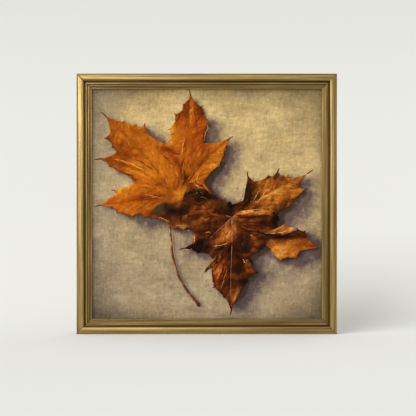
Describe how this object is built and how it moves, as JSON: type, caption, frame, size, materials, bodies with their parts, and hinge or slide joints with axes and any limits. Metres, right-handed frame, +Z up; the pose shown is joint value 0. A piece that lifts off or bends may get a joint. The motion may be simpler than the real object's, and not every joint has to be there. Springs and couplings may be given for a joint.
{
  "type": "framed picture",
  "caption": "Square framed canvas picture of autumn maple leaves in a narrow gilt moulding, with stretcher bars, clips and D-ring hangers behind.",
  "frame": {"origin": "on the wall plane, midway between the two hooks that the hanger rings go over", "axes": "the picture faces -Y, its back and the wall are at +Y, +Z is up, +X is to the right seen from the front"},
  "size_m": [0.508, 0.0344, 0.508],
  "materials": {
    "gilt_moulding": "worn metal leaf on wood, satin, with fine streaks along the rails",
    "painted_canvas": "painted cotton canvas, satin varnish in front, raw cloth behind",
    "stretcher_pine": "planed pine, unfinished",
    "key_beech": "sawn beech, unfinished",
    "nickel_steel": "nickel-plated steel, satin",
    "zinc_steel": "zinc-plated steel",
    "bumper_rubber": "matt black rubber"
  },
  "bodies": {
    "picture": {"rail_bottom": "gilt_moulding", "rail_left": "gilt_moulding", "rail_top": "gilt_moulding", "rail_right": "gilt_moulding", "canvas": "painted_canvas", "bar_bottom": "stretcher_pine", "bar_left": "stretcher_pine", "bar_top": "stretcher_pine", "bar_right": "stretcher_pine", "bar_key_bottom_1": "key_beech", "bar_key_bottom_2": "key_beech", "bar_key_left_1": "key_beech", "bar_key_left_2": "key_beech", "bar_key_top_1": "key_beech", "bar_key_top_2": "key_beech", "bar_key_right_1": "key_beech", "bar_key_right_2": "key_beech", "v_nail_bottom_left_1": "zinc_steel", "v_nail_bottom_left_2": "zinc_steel", "v_nail_top_left_1": "zinc_steel", "v_nail_top_left_2": "zinc_steel", "v_nail_top_right_1": "zinc_steel", "v_nail_top_right_2": "zinc_steel", "v_nail_bottom_right_1": "zinc_steel", "v_nail_bottom_right_2": "zinc_steel", "clip_bottom_1": "nickel_steel", "clip_screw_bottom_1": "zinc_steel", "clip_bottom_2": "nickel_steel", "clip_screw_bottom_2": "zinc_steel", "clip_left_1": "nickel_steel", "clip_screw_left_1": "zinc_steel", "clip_left_2": "nickel_steel", "clip_screw_left_2": "zinc_steel", "clip_top_1": "nickel_steel", "clip_screw_top_1": "zinc_steel", "clip_top_2": "nickel_steel", "clip_screw_top_2": "zinc_steel", "clip_right_1": "nickel_steel", "clip_screw_right_1": "zinc_steel", "clip_right_2": "nickel_steel", "clip_screw_right_2": "zinc_steel", "hanger_strap_left": "nickel_steel", "hanger_screw_left": "zinc_steel", "bumper_left": "bumper_rubber", "hanger_strap_right": "nickel_steel", "hanger_screw_right": "zinc_steel", "bumper_right": "bumper_rubber"},
    "ring_left": {"hanger_ring_left": "nickel_steel"},
    "ring_right": {"hanger_ring_right": "nickel_steel"}
  },
  "joints": [
    {"name": "ring_left_swing", "type": "hinge", "parent": "picture", "child": "ring_left", "pos_m": [-0.24175, -0.003, -0.0132], "axis": [1, 0, 0], "range_deg": [0, 180]},
    {"name": "ring_right_swing", "type": "hinge", "parent": "picture", "child": "ring_right", "pos_m": [0.24175, -0.003, -0.0132], "axis": [1, 0, 0], "range_deg": [0, 180]}
  ]
}
